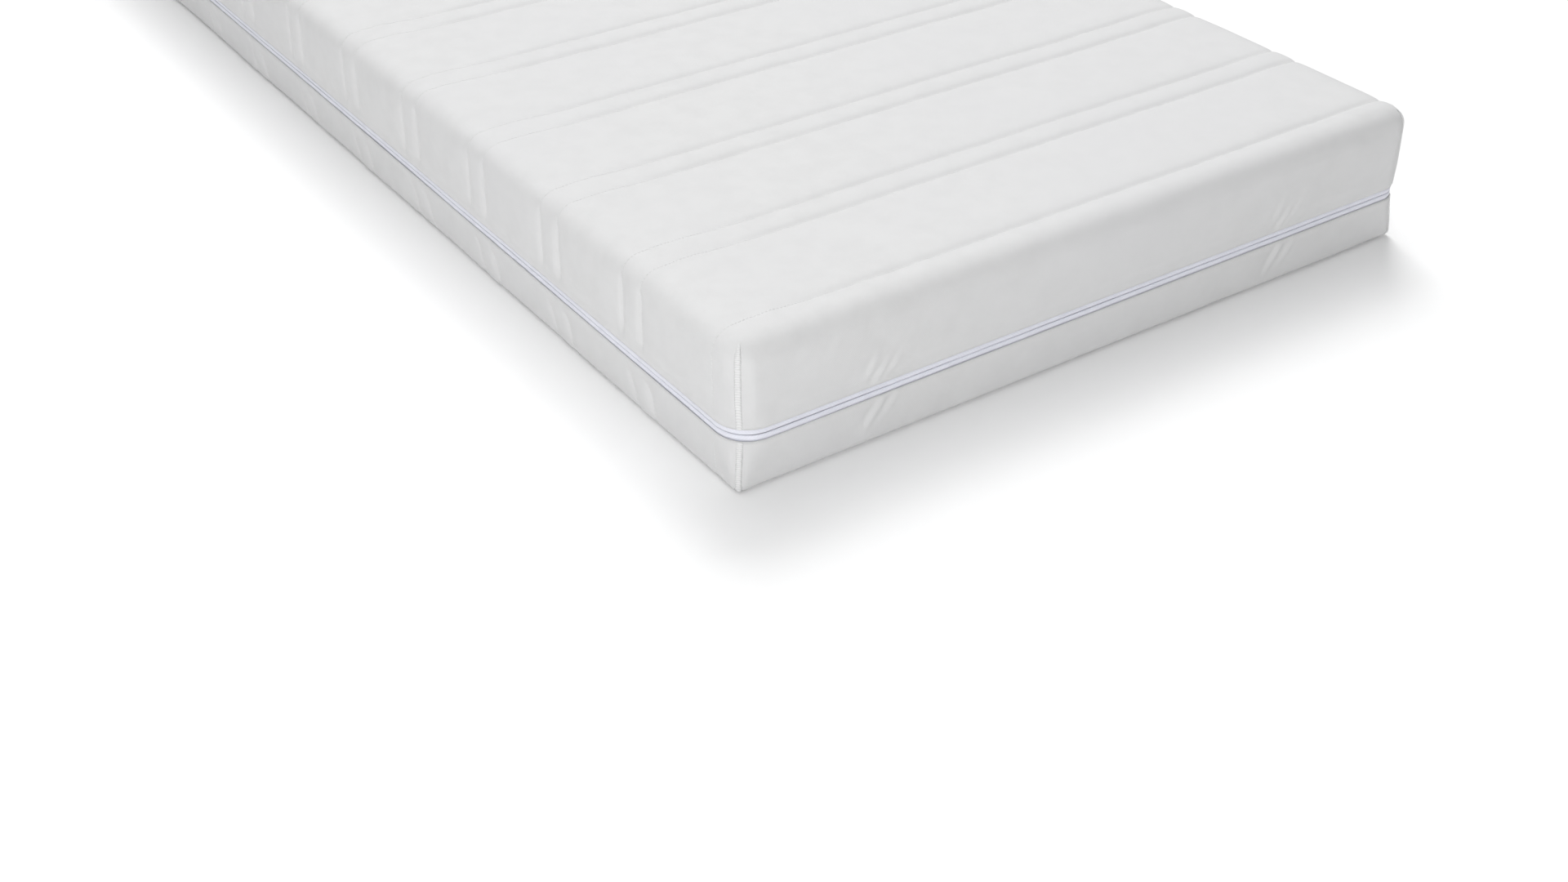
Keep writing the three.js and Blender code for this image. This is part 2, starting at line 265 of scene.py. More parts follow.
LOWER_HEM, UPPER_HEM = box("lower_cover_knit")[1][2], box("upper_cover_knit")[0][2]
ZIP_LEVEL, KNIT_EDGE = (UPPER_HEM + LOWER_HEM) / 2, (UPPER_HEM - LOWER_HEM) / 2
TOP_EDGE, BOTTOM_EDGE = 22 * MM, 8 * MM
CORNER = 23 * MM  # radius of an upright corner before the border is pulled over it
FLAT_X, FLAT_Y = HALF_X - CORNER, HALF_Y - CORNER
# Heights, and the stitched corner's radius at each.
SEAM_CORNER = np.array([[0, 59, 160], [10, 20, 26]]) * MM
ZIP_CORNER = 25 * MM  # at the zip, whose tape can't turn sharply
SLACK_CORNER = 37 * MM  # at the zip on the foot end's left corner, where the border is looser
ZIP_PULL_HEIGHT = 27 * MM  # how far above and below the zip its wider corner pulls on the border
LEAN, LEAN_START, LEAN_DEPTH = 24 * MM, 8 * MM, 50 * MM  # of the lower half, below the zip
LEAN_FADE = 0.15  # distance from each end over which the lean dies out


def corner_reach(radius, wide, c, s):
    """Distance from the widest corner's centre to an outline with corners of that radius, on a ray.

    c and s are the ray's cosine and sine. The ray meets the arc, whose centre is off by the difference
    of the radii both ways, or else the nearer of the two straight sides.
    """
    off = wide - radius
    along = off * (c + s)
    arc = along + np.sqrt(np.maximum(along**2 - 2 * off**2 + radius**2, 0))
    return np.where((arc * c >= off) & (arc * s >= off), arc, wide / np.maximum(c, s))


def turn_corner(points, present, wanted, inset):
    """Changes the radius of the upright corners from the present outline's to the wanted one.

    A point moves along the ray from the widest possible arc's centre, by the ratio of the wanted
    outline's distance on that ray to the present one's.
    """
    x = np.abs(points[..., 0]) - (HALF_X - SLACK_CORNER)
    y = np.abs(points[..., 1]) - (HALF_Y - SLACK_CORNER)
    angle = np.arctan2(np.maximum(y, 1e-9), np.maximum(x, 1e-9))
    c, s = np.cos(angle), np.sin(angle)
    wide = SLACK_CORNER - inset
    ratio = corner_reach(wanted - inset, wide, c, s) / corner_reach(present - inset, wide, c, s)
    inside = (x > 0) & (y > 0)
    turned = points.copy()
    for axis, near, centre in ((0, x, HALF_X - SLACK_CORNER), (1, y, HALF_Y - SLACK_CORNER)):
        moved = np.sign(points[..., axis]) * (centre + near * ratio)
        turned[..., axis] = np.where(inside, moved, points[..., axis])
    return turned


def radius_at_zip(points):
    """The corner radius at the zip: wider at the foot end's left corner than at the other three."""
    return np.where((points[..., 0] < 0) & (points[..., 1] < 0), SLACK_CORNER, ZIP_CORNER)


def shape_corner(points, inset):
    """Gives each upright corner its radius at each level: wide beside the zip, tight away from it.

    The radius falls from the zip's to the stitched corner's by a bell curve of the height.
    """
    bell = np.exp(-(((points[..., 2] - ZIP_LEVEL) / ZIP_PULL_HEIGHT) ** 2))
    seam = np.interp(points[..., 2], *SEAM_CORNER)
    wanted = seam + (radius_at_zip(points) - seam) * bell
    return turn_corner(points, CORNER, wanted, inset)


def cover_form(across, along, side, inset=0.0):
    """Points and outward normals of a cover half, for cloth coordinates across and along.

    The cloth coordinates are distances over the cloth from the mattress's middle. Past the start of
    the rounded edge, the distance t over the edge is turned into a reach outwards and a drop: an arc
    of the edge radius, then straight down. In a corner t is the larger of the two distances, and the
    smaller one over the larger gives the angle round the upright corner, so the diagonal is the seam.
    side is +1 for the upper half and -1 for the lower, which sits askew: below the zip its rows lean
    towards the foot end, in proportion to the depth.
    """
    edge = (TOP_EDGE if side > 0 else BOTTOM_EDGE) - inset
    corner = CORNER - inset
    level = HEIGHT - inset if side > 0 else inset
    u, v = np.broadcast_arrays(across, along)
    p, q = np.abs(u) - FLAT_X, np.abs(v) - FLAT_Y
    p0, q0 = np.maximum(p, 0), np.maximum(q, 0)
    t = np.maximum(p0, q0)
    small = np.minimum(p0, q0)
    share = np.where(t > 1e-9, small / np.maximum(t, 1e-9), 0) * np.pi / 4
    angle = np.where(p0 >= q0, share, np.pi / 2 - share)
    flat = max(corner - edge, 0)
    over = np.clip((t - flat) / edge, 0, np.pi / 2)
    reach = np.minimum(t, flat) + edge * np.sin(over)
    drop = edge * (1 - np.cos(over)) + np.maximum(t - flat - edge * np.pi / 2, 0)
    ring = t > 0
    out_x = np.where(ring, np.cos(angle), 0) * np.sign(u)
    out_y = np.where(ring, np.sin(angle), 0) * np.sign(v)
    x = np.where(p > 0, np.sign(u) * FLAT_X, u)
    y = np.where(q > 0, np.sign(v) * FLAT_Y, v)
    x = np.where(ring, x + out_x * reach, u)
    y = np.where(ring, y + out_y * reach, v)
    z = level - side * drop
    if side < 0:
        low = np.clip((ZIP_LEVEL - LEAN_START - z) / LEAN_DEPTH, 0, 1)
        y = y - LEAN * low * np.clip((FLAT_Y - np.abs(v)) / LEAN_FADE, 0, 1)
    normal = np.stack([out_x * np.sin(over), out_y * np.sin(over), side * np.cos(over)], -1)
    return shape_corner(np.stack([x, y, z], -1), inset), normal


def skirt_length(side, inset, hem):
    """Distance over the cloth from the corner arc's centre line down to a hem at the given level."""
    edge = (TOP_EDGE if side > 0 else BOTTOM_EDGE) - inset
    level = HEIGHT - inset if side > 0 else inset
    flat = max(CORNER - inset - edge, 0)
    return flat + edge * np.pi / 2 + abs(level - hem) - edge


def spread(low, high, step):
    """Evenly spaced values from low to high, no further apart than step."""
    return np.linspace(low, high, max(int(np.ceil((high - low) / step)) + 1, 2))


def filled(stops, steps):
    """Values through all of the stops, evenly spaced in each gap and no further apart than its step."""
    steps = np.broadcast_to(steps, len(stops) - 1)
    parts = [spread(a, b, step)[:-1] for a, b, step in zip(stops, stops[1:], steps)]
    return np.concatenate([*parts, stops[-1:]])


def with_borders(inner, skirt):
    """Cloth coordinates of the flat part, carried on past both ends by the border's distances."""
    return np.concatenate([inner[0] - skirt[:0:-1], inner, inner[-1] + skirt[1:]])


# ---- Core sock ----
# A thin pillowcase of stretch tricot over the foam, closed at the foot end and open at the head end.
# It protects the foam when the cover is off for washing.

SOCK_INSET = box("core_sock")[0][2]
SOCK_OPEN = box("core_sock")[1][1]


def knit_material(name, light, dark, wale_mm, loft_mm, roughness, sheen, tint=None):
    """Knitted cloth: fine columns of loops (wales) and rows (courses) that follow the cloth's own UV.

    The UV map is in metres, so the scale comes from the wale spacing, which is drawn coarser than the
    real one so that it shows. Faint clouds of tone come from the uneven loft behind the cloth. Loops
    scatter light, so it is rough, with a soft sheen.
    """
    material, tree = new_material(name)
    cloth = add_node(tree, "UVMap", {"uv_map": "cloth"}).outputs["UV"]
    place = add_node(tree, "TexCoord").outputs["Object"]
    split = add_node(tree, "SeparateXYZ", links={"Vector": cloth})
    wander = add_node(
        tree, "TexNoise", values={"Scale": per_metre(3.85), "Detail": 2.0}, links={"Vector": cloth}
    )
    drift = add_node(tree, "Math", {"operation": "MULTIPLY"}, {1: 5.0}, {0: wander.outputs["Fac"]})
    wales = 2 * np.pi * per_metre(wale_mm)
    waves = []
    for axis, rate in (("X", wales), ("Y", wales * 0.8)):
        phase = add_node(
            tree, "Math", {"operation": "MULTIPLY_ADD"}, {1: rate},
            {0: split.outputs[axis], 2: drift.outputs["Value"]},
        )
        wave = add_node(tree, "Math", {"operation": "SINE"}, links={0: phase.outputs["Value"]})
        waves.append(wave.outputs["Value"])
    loops = add_node(tree, "Math", {"operation": "MULTIPLY"}, links={0: waves[0], 1: waves[1]})
    loft = add_node(
        tree, "TexNoise", values={"Scale": per_metre(loft_mm), "Detail": 4.0, "Roughness": 0.55},
        links={"Vector": place},
    )
    fuzz = add_node(
        tree, "TexNoise", values={"Scale": per_metre(1.11), "Detail": 2.0, "Roughness": 0.7},
        links={"Vector": place},
    )
    tone = add_node(
        tree, "Math", {"operation": "MULTIPLY_ADD"}, {1: 0.05},
        {0: loops.outputs["Value"], 2: loft.outputs["Fac"]},
    )
    ramp = add_node(
        tree, "ValToRGB", {"stops": [(0.30, dark), (0.62, light)]}, links={"Fac": tone.outputs["Value"]}
    )
    colour = ramp.outputs["Color"]
    if tint:
        clouds = add_node(
            tree, "TexNoise", values={"Scale": per_metre(312.5), "Detail": 2.0, "Roughness": 0.5},
            links={"Vector": place},
        )
        soft = add_node(
            tree, "MapRange", values={"From Min": 0.35, "From Max": 0.75, "To Min": 0.0, "To Max": 0.7},
            links={"Value": clouds.outputs["Fac"]},
        )
        mix = add_node(
            tree, "Mix", {"data_type": "RGBA"}, {"B": linear(tint)}, {0: soft.outputs["Result"], "A": colour}
        )
        colour = mix.outputs["Result"]
    height = add_node(
        tree, "Math", {"operation": "MULTIPLY_ADD"}, {1: 0.6},
        {0: fuzz.outputs["Fac"], 2: loops.outputs["Value"]},
    )
    fine = add_node(
        tree, "Bump", values={"Strength": 0.35, "Distance": 0.12 * MM},
        links={"Height": height.outputs["Value"]},
    )
    broad = add_node(
        tree, "Bump", values={"Strength": 0.35, "Distance": 0.6 * MM},
        links={"Height": loft.outputs["Fac"], "Normal": fine.outputs["Normal"]},
    )
    add_shader(
        tree,
        {"Roughness": roughness, "Sheen Weight": sheen, "Sheen Roughness": 0.5, "Specular IOR Level": 0.25},
        {"Base Color": colour, "Normal": broad.outputs["Normal"]},
    )
    return material


def ripples(seed, *scales):
    """A repeatable sum of sine waves with random directions: (count, wavelength in metres, amplitude)."""
    random = np.random.default_rng(seed)
    waves = []
    for count, length, size in scales:
        turn = random.uniform(0, 2 * np.pi, count)
        rate = 2 * np.pi / (length * random.uniform(0.7, 1.4, count))
        phase = random.uniform(0, 2 * np.pi, count)
        waves += zip(rate * np.cos(turn), rate * np.sin(turn), phase, [size / np.sqrt(count)] * count)

    def value(u, v):
        """The sum of the waves at these coordinates."""
        total = np.zeros(np.broadcast(u, v).shape)
        for a, b, phase, size in waves:
            total += size * np.sin(a * u + b * v + phase)
        return total

    return value


SOCK_TOP_EDGE, SOCK_BOTTOM_EDGE, SOCK_FOOT_EDGE = 14 * MM, 5 * MM, 18 * MM


def make_sock():
    """The sock as a closed loop of cloth round the foam, carried from the foot to its open end.

    The loop is a rounded rectangle. Along y it is drawn in at the foot end along a quarter circle to
    close there. The cloth lies slack by 0.1 to 0.5 mm, in ripples.
    """
    half_x, low, high = HALF_X - SOCK_INSET, SOCK_INSET, HEIGHT - SOCK_INSET
    middle, half_z = (low + high) / 2, (high - low) / 2
    arcs = []
    for start, (sx, sz) in enumerate(((1, 1), (-1, 1), (-1, -1), (1, -1))):
        angle = np.linspace(0, np.pi / 2, 7) + start * np.pi / 2
        edge = SOCK_TOP_EDGE if sz > 0 else SOCK_BOTTOM_EDGE
        level = high - edge if sz > 0 else low + edge
        arcs.append(np.stack([sx * (half_x - edge) + edge * np.cos(angle), level + edge * np.sin(angle)], -1))
    loop = []
    for arc, following, steps in zip(arcs, arcs[1:] + arcs[:1], (70, 14, 70, 14)):
        loop += [arc, np.linspace(arc[-1], following[0], steps + 2)[1:-1]]
    loop = np.vstack(loop)
    rim = np.linspace(0, np.pi / 2, 8)
    start = SOCK_INSET - HALF_Y
    straight = np.linspace(start + SOCK_FOOT_EDGE, SOCK_OPEN, 150)[1:]
    stations = np.concatenate([start + SOCK_FOOT_EDGE * (1 - np.cos(rim)), straight])[:, None]
    inward = np.concatenate([SOCK_FOOT_EDGE * (1 - np.sin(rim)), 0 * straight])[:, None]
    across, upright = loop.T
    girth = np.cumsum(np.r_[0, np.hypot(*np.diff(loop, axis=0).T)])
    wave = ripples(11, (5, 0.16, 0.5 * MM), (6, 0.06, 0.22 * MM))
    slack = -0.1 * MM - 0.2 * MM * (1 + np.tanh(wave(girth, stations) / (0.4 * MM)))
    out_x = np.sign(across) * (np.abs(across) > half_x - 1e-6)
    out_z = np.sign(upright - middle) * ((upright > high - 1e-6) | (upright < low + 1e-6))
    x = across * (1 - inward / half_x) + out_x * slack
    z = middle + (upright - middle) * (1 - inward / half_z) + out_z * slack
    points = np.stack([x, np.broadcast_to(stations, x.shape), z], -1)
    # The foot end is closed by three more rings that shrink onto a short seam along the middle.
    share = np.array([0.0, 0.33, 0.66])[:, None]
    ring_x, ring_y, ring_z = points[0].T
    caps = np.stack([
        ring_x * (0.985 + 0.015 * share), ring_y - 0.2 * MM * (1 - share), middle + (ring_z - middle) * share
    ], -1)
    points = np.concatenate([caps, points])
    uv = np.stack(np.broadcast_arrays(girth, points[:, :1, 1]), -1)
    quads = grid_quads(*points.shape[:2], round_columns=True)
    return make_piece("tricot_sock", points, quads, tricot, uv)


tricot = knit_material("stretch tricot", "#ededeb", "#e8e8e5", 1.1, 30, 0.9, 0.15)
sock = make_sock()
modifier(sock, "SOLIDIFY", thickness=0.7 * MM, offset=-1)
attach(sock, "core")
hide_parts("core_sock")

# ---- Quilted cover, its two halves ----
# A jersey knit sewn through a fibre wadding onto a thin backing, in pairs of straight seams across the
# mattress that carry on down both long sides. Between two pairs the cloth stays flat and wide, and
# between the lines of a pair it puffs into a narrow rib. Each corner is joined by one upright seam.

PAIRS, PAIR_GAP, END_GAP = 13, 40 * MM, 4 * MM
PAIR_PITCH = (2 * HALF_Y - PAIR_GAP) / (PAIRS - 1)
STARTS = -HALF_Y + PAIR_PITCH * np.arange(PAIRS)
SEAMS = np.sort(np.concatenate([STARTS + END_GAP, STARTS + PAIR_GAP]))
SEAMS[-1] = HALF_Y - END_GAP
HALVES = (("upper", 1, "cover_top"), ("lower", -1, "cover_base"))  # half, side and body


def quilted_rows():
    """Cloth coordinates along the flat part, close together beside each seam and wider between seams."""
    near = np.array([-9, -5.5, -3, -1.4, 0, 1.4, 3, 5.5, 9]) * MM
    rows = np.r_[(SEAMS[:, None] + near).ravel(), -FLAT_Y, FLAT_Y]
    return filled(np.unique(rows[np.abs(rows) <= FLAT_Y].round(6)), 9 * MM)


def nearest_seam(y):
    """Distance from y to the nearest seam, and that seam's number."""
    gap = np.abs(y[..., None] - SEAMS)
    return gap.min(-1), gap.argmin(-1)


def eased(value):
    """The value kept between 0 and 1, with soft ends: 3 times its square less twice its cube."""
    value = np.clip(value, 0, 1)
    return value * value * (3 - 2 * value)


jersey = knit_material("white double jersey", "#dedede", "#dadada", 1.6, 26, 0.86, 0.25, tint="#dcdcdd")


def gather(u, v, side):
    """Fine puckers that a seam draws up on both sides: waves under a bell curve of the distance."""
    gap, number = nearest_seam(v)
    wave = ripples(21 + side, (6, 0.030, 1.0), (5, 0.016, 0.6))
    return wave(u, number * 0.37) * np.exp(-((gap / (11 * MM)) ** 2))


def crease(x, z, at, direction, length, width, height):
    """A soft ridge on an end face: a bell across the direction and a longer bell along it."""
    c, s = np.cos(np.radians(direction)), np.sin(np.radians(direction))
    a = (x - at[0]) * c + (z - at[1]) * s
    b = -(x - at[0]) * s + (z - at[1]) * c
    return height * np.exp(-((a / length) ** 2)) * (
        np.exp(-((b / width) ** 2)) - 0.7 * np.exp(-(((b - 1.7 * width) / width) ** 2))
    )


def quilting(u, v, side):
    """How far the cloth stands out from its form, in metres.

    Beside a seam: a narrow valley plus a wide shallow one, both bell curves of the distance. Between
    the lines of a pair the rib rises. Puckers and slow swells of the wadding are added. On the foot
    and head ends and in the corners there are no seams, so they fade out there.
    """
    gap, _ = nearest_seam(v)
    on_end = eased((np.abs(v) - (HALF_Y - 28 * MM)) / (16 * MM))
    over = np.abs(u) - FLAT_X
    drop = np.maximum(over, 0)
    # The seams hardly show where the cloth is stretched over the long shoulders, least on the left one.
    knots = [-0.5, -0.13, -0.04, 0.02, 0.034, 0.046, 0.3]
    left = np.interp(over, knots, [1, 1, 0.22, 0.1, 0.65, 1, 1])
    right = np.interp(over, knots, [1, 1, 1, 0.6, 0.7, 1, 1])
    in_corner = np.minimum(drop, np.clip(np.abs(v) - FLAT_Y, 0, None))
    strength = np.where(u < 0, left, right) * (1 - np.clip(in_corner / (8 * MM), 0, 1))
    # The outermost pairs hardly show on the sides.
    on_side = np.clip(drop / (30 * MM) - 0.3, 0, 1)
    strength = strength * (1 - 0.9 * on_side * np.clip((np.abs(v) - 0.93) / 0.02, 0, 1))
    narrow, wide = (1.8 + 0.7 * on_side) * MM, (1.4 + 0.2 * on_side) * MM
    valley = narrow * np.exp(-((gap / (2.8 * MM)) ** 2)) + wide * np.exp(-((gap / (8 * MM)) ** 2))
    along = v + HALF_Y - PAIR_GAP / 2
    to_pair = np.abs(along - PAIR_PITCH * np.round(along / PAIR_PITCH))
    rib = (1.0 + 0.3 * on_side) * MM * np.clip(np.cos(np.pi * to_pair / PAIR_GAP), 0, 1)
    relief = (rib * (to_pair < PAIR_GAP / 2) - valley) * strength * (1 - on_end)
    relief = relief + 0.2 * MM * gather(u, v, side) * (1 - 0.8 * on_end)
    swell = ripples(31 + side, (7, 0.21, 0.35 * MM), (8, 0.085, 0.15 * MM))
    return np.maximum(relief + swell(u, v), -3.9 * MM)


# Each crease on an end: its place across in metres, how many times 4 mm it is nudged, its height off
# the hem in mm, its slant in degrees, and its size.
END_CREASES = [
    (-0.286, 0, 12, 56, 1.4), (-0.276, 1, 16, 50, 1.0), (-0.297, 0, 24, 63, 0.9), (0.257, 0, 12, 58, 1.3),
    (0.268, 1, 18, 50, 1.0), (0.247, 0, 26, 64, 0.8), (-0.02, 0, 10, 50, 0.5), (0.12, 1, 14, 56, 0.5),
    (-0.34, 0, 62, 58, 0.7), (-0.37, 0, 70, 40, 0.5), (-0.315, 1, 66, 66, 0.5),
]


def end_creases(points, normals, side):
    """The slanting puckers beside the zip on the end faces: the sum of the creases of that end."""
    x, y, z = points[..., 0], points[..., 1], points[..., 2]
    total = np.zeros(x.shape)
    for end in (-1, 1):
        for place, nudge, lift, slant, size in END_CREASES:
            at = (-end * place + 4 * MM * nudge, ZIP_LEVEL + side * (KNIT_EDGE + lift * MM))
            ridge = crease(x, z, at, slant, 15 * MM, 3.4 * MM, size * 1.5 * MM)
            total += np.where(y * end > 0, ridge, 0)
    return total * np.clip(np.abs(normals[..., 1]) * 1.4 - 0.4, 0, 1)


def cover_knit(side, hem, step):
    """Grid of the knit of one cover half: cloth coordinates, points, and normals of the bare form.

    Its columns are finer where the ends are creased.
    """
    skirt = spread(0, skirt_length(side, 0.0, hem), 3.5 * MM)
    stops = np.array([-FLAT_X, -0.305, -0.225, 0.225, 0.305, FLAT_X])
    columns = filled(stops, [step, 2.6 * MM, step, 2.6 * MM, step])
    u, v = np.meshgrid(with_borders(columns, skirt), with_borders(quilted_rows(), skirt))
    return u, v, *cover_form(u, v, side)


def relax_cloth(points, pinned, cap):
    """How a cloth simulation moves the points: the cover is blown up gently, held along its seams.

    The knit is a little larger than the form it covers, so it finds its own soft folds. No point may
    move further than cap.
    """
    trial = make_piece("knit_on_the_form", points, grid_quads(*pinned.shape), jersey)
    group = trial.vertex_groups.new(name="sewn")
    group.add(np.flatnonzero(pinned.ravel()).tolist(), 1.0, "REPLACE")
    cloth = trial.modifiers.new("Cloth", "CLOTH")
    settings = cloth.settings
    settings.quality = 4
    settings.mass = 0.25
    settings.tension_stiffness = settings.compression_stiffness = 12
    settings.shear_stiffness = 4
    settings.bending_stiffness = 0.4
    settings.use_pressure = True
    settings.uniform_pressure_force = 2.5
    settings.effector_weights.gravity = 0
    settings.shrink_min = -0.012
    settings.vertex_group_mass = "sewn"
    scene = bpy.context.scene
    scene.frame_start, scene.frame_end = 1, 20
    for number in range(1, 21):
        scene.frame_set(number)
    settled = trial.evaluated_get(bpy.context.evaluated_depsgraph_get())
    moved = np.empty(len(settled.data.vertices) * 3, np.float32)
    settled.data.vertices.foreach_get("co", moved)
    mesh = trial.data
    bpy.data.objects.remove(trial)
    bpy.data.meshes.remove(mesh)
    scene.frame_set(1)
    shift = moved.reshape(points.shape) - points
    size = np.linalg.norm(shift, axis=-1, keepdims=True)
    return shift * (cap * np.tanh(size / cap) / np.maximum(size, 1e-9))


def resample(values, rows, columns, new_rows, new_columns):
    """A grid of vectors read off at other rows and columns, by straight-line steps both ways."""
    i = np.clip(np.searchsorted(rows, new_rows) - 1, 0, len(rows) - 2)
    j = np.clip(np.searchsorted(columns, new_columns) - 1, 0, len(columns) - 2)
    a = np.clip((new_rows - rows[i]) / (rows[i + 1] - rows[i]), 0, 1)[:, None, None]
    b = np.clip((new_columns - columns[j]) / (columns[j + 1] - columns[j]), 0, 1)[None, :, None]
    top = values[i][:, j] * (1 - b) + values[i][:, j + 1] * b
    low = values[i + 1][:, j] * (1 - b) + values[i + 1][:, j + 1] * b
    return top * (1 - a) + low * a


def smoothed(values, axis):
    """Each value mixed with its two neighbours along one axis, a quarter of each."""
    before = np.concatenate([values.take([0], axis), values.take(range(values.shape[axis] - 1), axis)], axis)
    after = np.concatenate([values.take(range(1, values.shape[axis]), axis), values.take([-1], axis)], axis)
    return (before + 2 * values + after) / 4


def settle_cover(rows, columns, side):
    """The knit's own folds, simulated on a coarser grid of cloth and spread over the fine one.

    The cloth is held at the hem, at the corner seams and along the quilting, except over the long
    shoulders. The wadding is behind it, so what moves inwards is left out.
    """
    skirt_x, skirt_y = spread(0, columns[-1] - FLAT_X, 8 * MM), spread(0, rows[-1] - FLAT_Y, 8 * MM)
    across = with_borders(spread(-FLAT_X, FLAT_X, 13 * MM), skirt_x)
    stops = np.r_[-FLAT_Y, SEAMS[np.abs(SEAMS) < FLAT_Y], FLAT_Y]
    along = with_borders(filled(stops, 13 * MM), skirt_y)
    u, v = np.meshgrid(across, along)
    points, normals = cover_form(u, v, side)
    gap, _ = nearest_seam(v)
    past_x, past_y = np.abs(u) - FLAT_X, np.abs(v) - FLAT_Y
    sewn = (gap < 1.0 * MM) & (past_y < 0) & ((past_x < -60 * MM) | (past_x > 50 * MM))
    sewn[[0, -1]] = True
    sewn[:, [0, -1]] = True
    sewn |= (past_x > 0) & (past_y > 0) & (np.abs(past_x - past_y) < 2 * MM)
    if side < 0:
        sewn |= (past_x < 0) & (past_y < 0)
    shift = relax_cloth(points, sewn, 2.2 * MM)
    for axis in (1, 1, 0):
        shift = smoothed(shift, axis)
    outwards = (shift * normals).sum(-1, keepdims=True)
    return resample(shift - normals * np.minimum(outwards, 0), along, across, rows, columns)


def hemmed_knit(name, side, step):
    """The visible knit of one half: form, quilting, folds, and a hem turned in beside the zip tape."""
    hem = ZIP_LEVEL + side * KNIT_EDGE
    u, v, points, normals = cover_knit(side, hem, step)
    shift = settle_cover(v[:, 0], u[0], side)
    over = np.maximum(np.maximum(np.abs(u) - FLAT_X, np.abs(v) - FLAT_Y), 0)
    to_hem = skirt_length(side, 0.0, hem) - over
    free = eased((to_hem - 7 * MM) / (14 * MM))
    relief = quilting(u, v, side)
    if side < 0:  # the underside lies flat on the bed base
        relief = np.where(np.abs(points[..., 2]) < 4 * MM, np.minimum(relief, 0), relief)
    relief = relief * free + end_creases(points, normals, side) * np.clip(to_hem / (5 * MM), 0, 1)
    roll = 0.35 * MM * np.exp(-((to_hem - 4.0 * MM) / (3.0 * MM)) ** 2)
    surface = points + normals * (relief + roll)[..., None] + shift * free[..., None]
    if side < 0:
        surface[..., 2] = np.maximum(surface[..., 2], 0.2 * MM)
    made = make_piece(name, surface, grid_quads(*u.shape)[:, ::side], jersey, np.stack([u, v], -1))
    modifier(made, "SOLIDIFY", thickness=1.1 * MM, offset=-1)
    return made, (u, v, surface)


knits, knit_grids = {}, {}
for (half, side, body), step in zip(HALVES, (6 * MM, 12 * MM)):
    knits[half], knit_grids[half] = hemmed_knit(half + "_cover_jersey", side, step)
    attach(knits[half], body)
    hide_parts(half + "_cover_knit")

# ---- Wadding and backing ----
# Behind the knit lie 4 mm of lofted polyester fibre and a thin non-woven backing. The seams squeeze the
# wadding to almost nothing. Both stop above and below the zip, so that only knit is hemmed to the tape.

WADDING_INSET, WADDING_DEEP = HEIGHT - box("upper_cover_wadding")[1][2], 5.4 * MM
BACKING_INSET, BACKING = 5.9 * MM, 0.6 * MM
LINING_EDGE = box("upper_cover_backing")[0][2] - ZIP_LEVEL


def lining_grid(side, inset):
    """Cloth coordinates of a lining layer of one cover half, coarser than the knit's."""
    skirt = spread(0, skirt_length(side, inset, ZIP_LEVEL + side * LINING_EDGE), 9 * MM)
    rows = (SEAMS[:, None] + np.array([-6, 0, 6]) * MM).ravel()
    rows = np.unique(np.r_[rows[np.abs(rows) < FLAT_Y], -FLAT_Y, FLAT_Y].round(6))
    across = with_borders(spread(-FLAT_X, FLAT_X, 25 * MM), skirt)
    return np.meshgrid(across, with_borders(filled(rows, 30 * MM), skirt))


def closed_pad(outer, inner):
    """The points and quads of a closed pad between two grids of the same size, joined round the rim."""
    rows, columns = outer.shape[:2]
    count = rows * columns
    face = grid_quads(rows, columns)
    index = np.arange(count).reshape(rows, columns)
    rim = np.concatenate([index[0], index[1:, -1], index[-1, -2::-1], index[-2:0:-1, 0]])
    ahead = np.roll(rim, -1)
    wall = np.stack([rim, rim + count, ahead + count, ahead], -1)
    quads = np.concatenate([face, face[:, ::-1] + count, wall])
    return np.concatenate([outer.reshape(-1, 3), inner.reshape(-1, 3)]), quads


def make_wadding(name, side):
    """A pad between two copies of the form. Its outer face sinks along the seams as the knit does."""
    u, v = lining_grid(side, WADDING_INSET)
    outer, normals = cover_form(u, v, side, WADDING_INSET)
    inner, _ = cover_form(u, v, side, WADDING_DEEP)
    gap, _ = nearest_seam(v)
    outer = outer - normals * (2.7 * MM * np.exp(-((gap / (7 * MM)) ** 2)) + 0.9 * MM)[..., None]
    points, quads = closed_pad(outer, inner)
    return make_piece(name, points, quads[:, ::side], fibre)


def fibre_material(name, light, dark):
    """Carded fibre wadding: white, very rough, with a tangle of fine strands and open, darker gaps."""
    material, tree = new_material(name)
    place = add_node(tree, "TexCoord").outputs["Object"]
    strands = add_node(
        tree, "TexNoise",
        values={"Scale": per_metre(2.38), "Detail": 6.0, "Roughness": 0.75, "Distortion": 2.5},
        links={"Vector": place},
    ).outputs["Fac"]
    add_surface(
        tree, strands, [(0.25, dark), (0.6, light)], strands, (0.9, 0.8),
        {"Roughness": 1.0, "Sheen Weight": 0.4},
    )
    return material


fibre = fibre_material("carded polyester wadding", "#f8f8f6", "#dcdcd8")
fleece = knit_material("non-woven backing", "#ececea", "#dededb", 2.2, 12, 0.95, 0.2)
for half, side, body in HALVES:
    pad = make_wadding(half + "_wadding", side)
    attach(pad, body)
    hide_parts(half + "_cover_wadding")

    u, v = lining_grid(side, BACKING_INSET)
    sheet_points, _ = cover_form(u, v, side, BACKING_INSET)
    quads = grid_quads(*u.shape)[:, ::side]
    lining = make_piece(half + "_backing", sheet_points, quads, fleece, np.stack([u, v], -1))
    modifier(lining, "SOLIDIFY", thickness=BACKING, offset=-1)
    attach(lining, body)
    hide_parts(half + "_cover_backing")

# ---- Quilting thread ----
# Lockstitch in white polyester thread along every seam, 4.2 mm to a stitch. Each stitch shows as a
# short straight length of thread that dives into the cloth at both ends.

